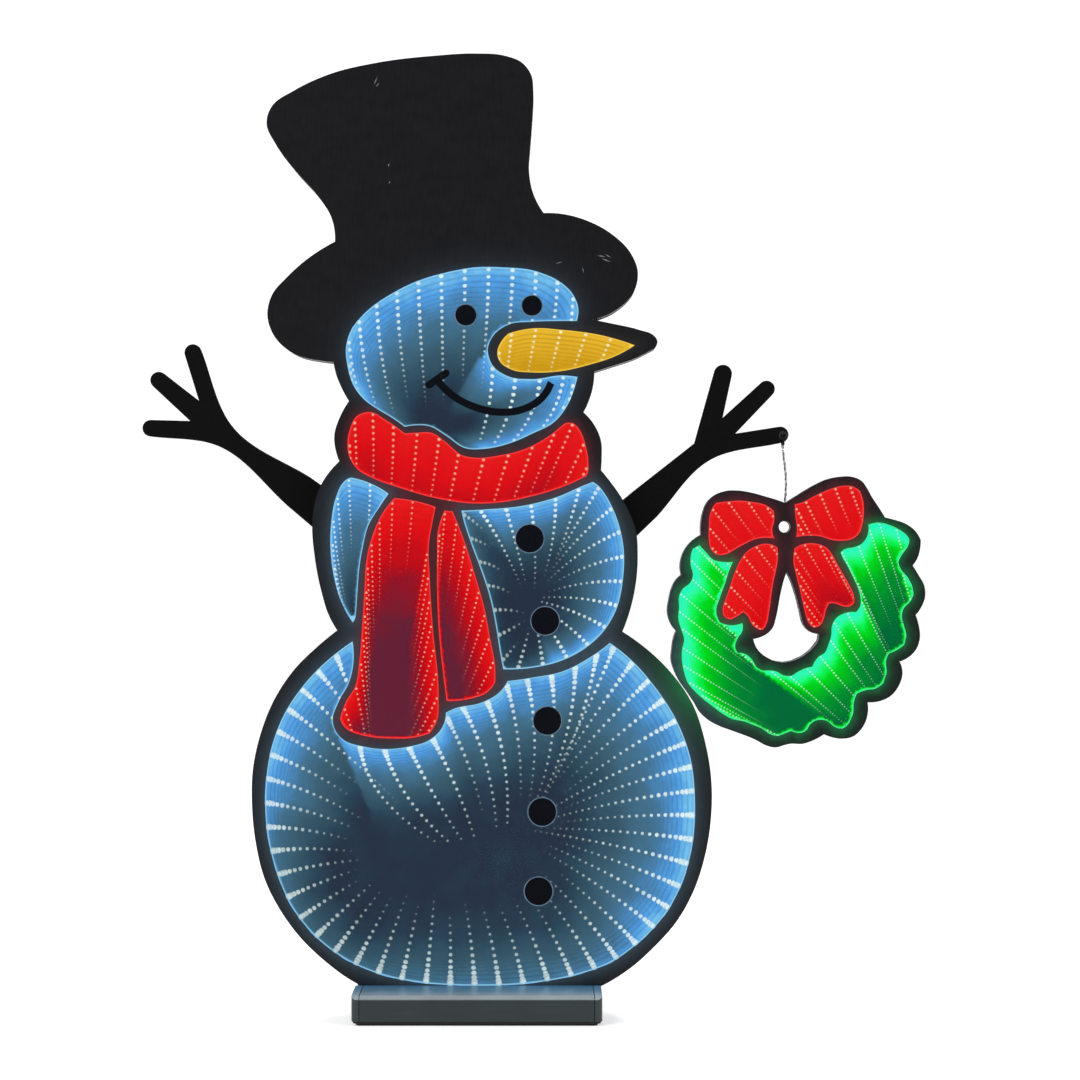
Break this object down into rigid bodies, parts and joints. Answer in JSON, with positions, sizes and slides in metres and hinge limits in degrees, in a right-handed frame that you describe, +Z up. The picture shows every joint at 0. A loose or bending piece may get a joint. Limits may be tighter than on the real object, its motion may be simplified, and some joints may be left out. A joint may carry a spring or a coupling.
{
  "type": "led infinity-mirror snowman",
  "caption": "Flat lit snowman panel with infinity-mirror cells, black hat and twig arms, in a metal foot, with a small lit wreath hanging from one hand.",
  "frame": {"origin": "centre of the foot's underside, on the surface it stands on", "axes": "+Z up; the lit front faces -Y; +X towards the hand that holds the wreath"},
  "size_m": [0.5381, 0.12, 0.654],
  "materials": {
    "black_print": "screen-printed black film, satin",
    "two_way_mirror": "two-way mirror acrylic",
    "black_frame": "moulded black, matte",
    "mirror_sheet": "silvered acrylic",
    "black_cover": "fine texture, matte",
    "black_board": "cut foamed-PVC board, matte",
    "led_white": "flexible LED strip, cool white",
    "led_red": "flexible LED strip, red",
    "led_amber": "flexible LED strip, amber",
    "led_green": "flexible LED strip, green",
    "circuit_board": "solder-masked board",
    "ribbon_wire": "insulated ribbon",
    "clear_lead": "thin twin lead in clear insulation",
    "gunmetal": "anodised gunmetal extrusion",
    "black_moulding": "moulded dark grey",
    "soft_rubber": "soft black rubber",
    "steel": "zinc-plated"
  },
  "bodies": {
    "panel": {"arm_lead": "clear_lead", "arm_screw_left_1": "steel", "arm_screw_left_2": "steel", "arm_screw_right_1": "steel", "arm_screw_right_2": "steel", "back_mirror_sheet": "mirror_sheet", "base_bottom_plate": "steel", "base_channel": "gunmetal", "base_end_cap_left": "black_moulding", "base_end_cap_right": "black_moulding", "base_pad": "soft_rubber", "base_screw_left": "steel", "base_screw_right": "steel", "cell_frame": "black_frame", "coal_button_1": "black_print", "coal_button_2": "black_print", "coal_button_3": "black_print", "coal_button_4": "black_print", "coal_button_5": "black_print", "control_board": "circuit_board", "cover_screw_1": "steel", "cover_screw_2": "steel", "cover_screw_3": "steel", "cover_screw_4": "steel", "cover_screw_5": "steel", "cover_screw_6": "steel", "cover_screw_7": "steel", "dc_inlet": "black_moulding", "eye_left": "black_print", "eye_right": "black_print", "front_mirror_sheet": "two_way_mirror", "front_print_film": "black_print", "lead_clip_1": "soft_rubber", "lead_clip_2": "soft_rubber", "lead_grommet": "soft_rubber", "led_strip_belly": "led_white", "led_strip_collar": "led_red", "led_strip_head": "led_white", "led_strip_nose": "led_amber", "led_strip_scarf_tail_left": "led_red", "led_strip_scarf_tail_right": "led_red", "led_strip_torso_left": "led_white", "led_strip_torso_right": "led_white", "rear_cover": "black_cover", "smile": "black_print", "twig_arm_left": "black_board", "twig_arm_right": "black_board", "wiring_harness": "ribbon_wire"},
    "lead_loop": {"lead_loop": "clear_lead"},
    "hanging_lead": {"hanging_lead": "clear_lead"},
    "wreath": {"led_strip_bow_loop_left": "led_red", "led_strip_bow_loop_right": "led_red", "led_strip_bow_tail_left": "led_red", "led_strip_bow_tail_right": "led_red", "led_strip_greenery": "led_green", "wreath_back_mirror": "mirror_sheet", "wreath_cell_frame": "black_frame", "wreath_mirror_sheet": "two_way_mirror", "wreath_print_film": "black_print", "wreath_rear_cover": "black_cover"}
  },
  "joints": [
    {"name": "lead_swing", "type": "hinge", "parent": "panel", "child": "lead_loop", "pos_m": [0.2093, 0.0139, 0.395], "axis": [0, -1, 0], "range_deg": [0, 25]},
    {"name": "lead_sway", "type": "hinge", "parent": "lead_loop", "child": "hanging_lead", "pos_m": [0.2093, 0.0139, 0.3866], "axis": [1, 0, 0], "range_deg": [-30, 30]},
    {"name": "wreath_twist", "type": "hinge", "parent": "hanging_lead", "child": "wreath", "pos_m": [0.2105, 0.0139, 0.349], "axis": [0, 0, 1], "range_deg": [-60, 60]}
  ]
}
